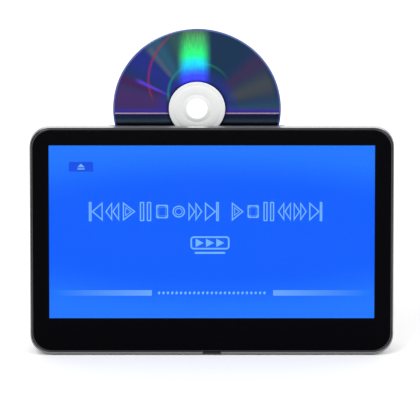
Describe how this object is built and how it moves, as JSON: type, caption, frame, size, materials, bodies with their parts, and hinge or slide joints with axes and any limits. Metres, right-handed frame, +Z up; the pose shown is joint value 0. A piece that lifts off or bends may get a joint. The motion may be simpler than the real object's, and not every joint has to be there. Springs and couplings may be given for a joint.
{
  "type": "portable disc player",
  "caption": "Flat upright disc player with a display behind a one-piece black lens, a slot in its sloping top edge with a disc standing half out, side keys and a rear kickstand.",
  "frame": {"origin": "below the middle of the case, at the level of the feet", "axes": "+X to the viewer's right along the width, +Y to the rear through the thickness, +Z up"},
  "size_m": [0.2606, 0.03, 0.2415],
  "materials": {
    "silver_paint": "satin silver paint",
    "black_lens": "high gloss black",
    "smoked_plastic": "smoked gloss",
    "dark_foam": "matte foam",
    "black_plastic": "fine matte",
    "black_keys": "satin",
    "black_rubber": "matte",
    "slot_felt": "napped",
    "steel": "fine brushed",
    "sheet_metal": "rolled sheet",
    "display": "lit display",
    "light_guide": "clear acrylic",
    "ribbon_film": "amber film",
    "board_green": "solder mask",
    "chip_black": "moulded",
    "battery_wrap": "shrink wrap",
    "white_plastic": "natural acetal",
    "disc_data_side": "metallised polycarbonate",
    "optic_glass": "coated optic"
  },
  "bodies": {
    "housing": {"front_frame": "silver_paint", "rear_cover": "silver_paint", "front_lens": "black_lens", "ir_window": "smoked_plastic", "lens_gasket": "dark_foam", "slot_bezel": "black_plastic", "speaker_left": "black_plastic", "speaker_right": "black_plastic", "dc_jack": "black_plastic", "headphone_jack": "black_plastic", "power_switch_body": "black_plastic", "foot_left": "black_rubber", "foot_right": "black_rubber", "drive_damper_1": "black_rubber", "drive_damper_2": "black_rubber", "drive_damper_3": "black_rubber", "drive_damper_4": "black_rubber", "slot_felt_front": "slot_felt", "slot_felt_rear": "slot_felt", "case_screw_1": "steel", "case_screw_2": "steel", "case_screw_3": "steel", "case_screw_4": "steel", "kickstand_pin": "steel", "loading_motor": "steel", "lcd_frame": "sheet_metal", "drive_chassis": "sheet_metal", "disc_guide_plate": "sheet_metal", "usb_port": "sheet_metal", "card_socket": "sheet_metal", "lcd_panel": "display", "lcd_backlight": "light_guide", "lcd_ribbon": "ribbon_film", "main_board": "board_green", "key_board": "board_green", "main_processor": "chip_black", "battery_pack": "battery_wrap"},
    "disc": {"disc": "disc_data_side"},
    "roller": {"loading_roller": "black_rubber", "roller_shaft": "steel", "roller_gear": "white_plastic"},
    "idler": {"idler_gear": "white_plastic"},
    "pinion": {"motor_pinion": "steel"},
    "cam": {"cam_slider": "white_plastic"},
    "traverse": {"traverse_frame": "black_plastic", "spindle_motor": "steel", "guide_rod_1": "steel", "guide_rod_2": "steel", "sled_motor": "steel"},
    "turntable": {"turntable": "black_plastic"},
    "clamper": {"clamper": "white_plastic"},
    "pickup": {"pickup_body": "sheet_metal"},
    "objective": {"objective_lens": "optic_glass"},
    "lead_screw": {"lead_screw": "steel"},
    "kickstand": {"kickstand": "silver_paint"},
    "volume_down_key": {"volume_down_key": "black_keys"},
    "volume_up_key": {"volume_up_key": "black_keys"},
    "play_key": {"play_key": "black_keys"},
    "eject_key": {"eject_key": "black_keys"},
    "power_slider": {"power_slider": "black_keys"}
  },
  "joints": [
    {"name": "disc_slide", "type": "slide", "parent": "housing", "child": "disc", "axis": [0, 0, 1], "range_m": [-0.08536, 0.055]},
    {"name": "roller_spin", "type": "hinge", "parent": "housing", "child": "roller", "pos_m": [-0.0106, -0.0011, 0.16014], "axis": [1, 0, 0], "range_deg": [-1535, 990]},
    {"name": "idler_spin", "type": "hinge", "parent": "housing", "child": "idler", "pos_m": [0.0587, 0.0007, 0.15015], "axis": [1, 0, 0], "range_deg": [-665, 1025]},
    {"name": "pinion_spin", "type": "hinge", "parent": "housing", "child": "pinion", "pos_m": [0.0587, 0.0007, 0.1415], "axis": [1, 0, 0], "range_deg": [-2455, 1585]},
    {"name": "traverse_lift", "type": "slide", "parent": "housing", "child": "traverse", "axis": [0, 1, 0], "range_m": [0, 0.0028]},
    {"name": "cam_slide", "type": "slide", "parent": "housing", "child": "cam", "axis": [1, 0, 0], "range_m": [0, 0.008]},
    {"name": "turntable_spin", "type": "hinge", "parent": "traverse", "child": "turntable", "pos_m": [-0.0106, -0.0013, 0.09614], "axis": [0, 1, 0], "continuous": true},
    {"name": "clamper_spin", "type": "hinge", "parent": "housing", "child": "clamper", "pos_m": [-0.0106, 0.006, 0.09614], "axis": [0, 1, 0], "continuous": true},
    {"name": "pickup_slide", "type": "slide", "parent": "traverse", "child": "pickup", "axis": [1, 0, 0], "range_m": [0, 0.0345]},
    {"name": "lead_screw_spin", "type": "hinge", "parent": "traverse", "child": "lead_screw", "pos_m": [-0.0106, -0.0033, 0.07014], "axis": [1, 0, 0], "range_deg": [-5, 4150]},
    {"name": "lens_focus", "type": "slide", "parent": "pickup", "child": "objective", "axis": [0, 1, 0], "range_m": [-0.0004, 0.0004], "stiffness_N_per_m": 30},
    {"name": "kickstand_swing", "type": "hinge", "parent": "housing", "child": "kickstand", "pos_m": [0, 0.0132, 0.09714], "axis": [1, 0, 0], "range_deg": [0, 50]},
    {"name": "volume_down_press", "type": "slide", "parent": "housing", "child": "volume_down_key", "axis": [-1, 0, 0], "range_m": [0, 0.0006], "stiffness_N_per_m": 800},
    {"name": "volume_up_press", "type": "slide", "parent": "housing", "child": "volume_up_key", "axis": [-1, 0, 0], "range_m": [0, 0.0006], "stiffness_N_per_m": 800},
    {"name": "play_press", "type": "slide", "parent": "housing", "child": "play_key", "axis": [-1, 0, 0], "range_m": [0, 0.0006], "stiffness_N_per_m": 800},
    {"name": "eject_press", "type": "slide", "parent": "housing", "child": "eject_key", "axis": [-1, 0, 0], "range_m": [0, 0.0006], "stiffness_N_per_m": 800},
    {"name": "power_slide", "type": "slide", "parent": "housing", "child": "power_slider", "axis": [0, 0, 1], "range_m": [0, 0.004]}
  ],
  "couplings": [
    {"joint": "roller_spin", "follows": "disc_slide", "rad_per_m": 312.5},
    {"joint": "idler_spin", "follows": "disc_slide", "rad_per_m": -208.33},
    {"joint": "pinion_spin", "follows": "disc_slide", "rad_per_m": 500},
    {"joint": "cam_slide", "follows": "traverse_lift", "ratio": 2.8571},
    {"joint": "clamper_spin", "follows": "turntable_spin", "ratio": 1},
    {"joint": "lead_screw_spin", "follows": "pickup_slide", "rad_per_m": 2094.4}
  ]
}
